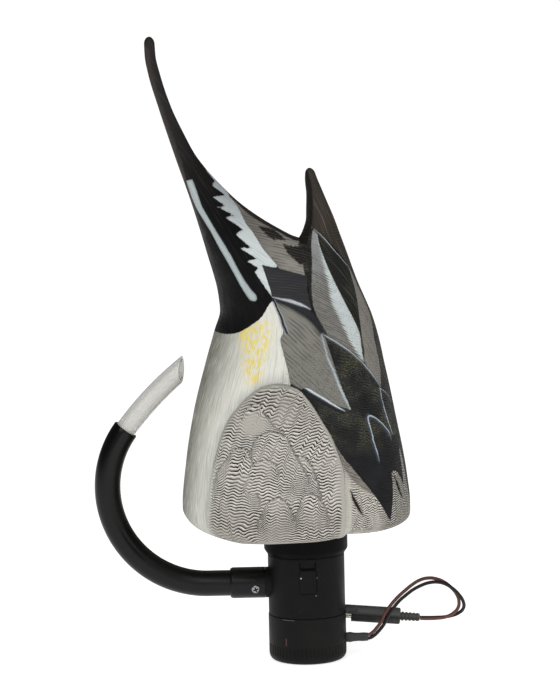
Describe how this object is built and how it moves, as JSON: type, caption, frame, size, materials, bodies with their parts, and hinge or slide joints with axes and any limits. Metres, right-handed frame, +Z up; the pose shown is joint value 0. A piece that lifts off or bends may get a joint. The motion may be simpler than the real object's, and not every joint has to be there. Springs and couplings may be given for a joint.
{
  "type": "motion duck decoy",
  "caption": "Rear half of a feeding duck, tail upright, on a small round pump with a curved hose, a clear nozzle and a short electrical lead.",
  "frame": {"origin": "centre of the pump's round foot, on the surface that the decoy stands on", "axes": "+Z up towards the tail, +X towards the duck's back and the lead, -X towards its belly and the hose"},
  "size_m": [0.2979, 0.1812, 0.5033],
  "materials": {
    "painted_body": "matt hand painted plastic",
    "pump_plastic": "satin black plastic",
    "cap_plastic": "satin black plastic",
    "sleeve_rubber": "smooth black",
    "screw_steel": "bright",
    "hose_vinyl": "smooth black vinyl",
    "clear_tube": "clear vinyl",
    "seal_rubber": "matt black",
    "red_wire": "smooth red brown insulation",
    "black_wire": "smooth black insulation",
    "connector_rubber": "moulded black rubber",
    "contact_metal": "bright plated"
  },
  "bodies": {
    "root": {"decoy_body": "painted_body", "mounting_collar": "pump_plastic", "pump_housing": "pump_plastic", "motor_cap": "cap_plastic", "outlet_sleeve": "sleeve_rubber", "sleeve_screw": "screw_steel", "water_hose": "hose_vinyl", "nozzle_tube": "clear_tube", "lead_gland": "seal_rubber", "lead_red": "red_wire", "lead_black": "black_wire", "connector_shell": "connector_rubber", "connector_pin": "contact_metal"}
  },
  "joints": []
}
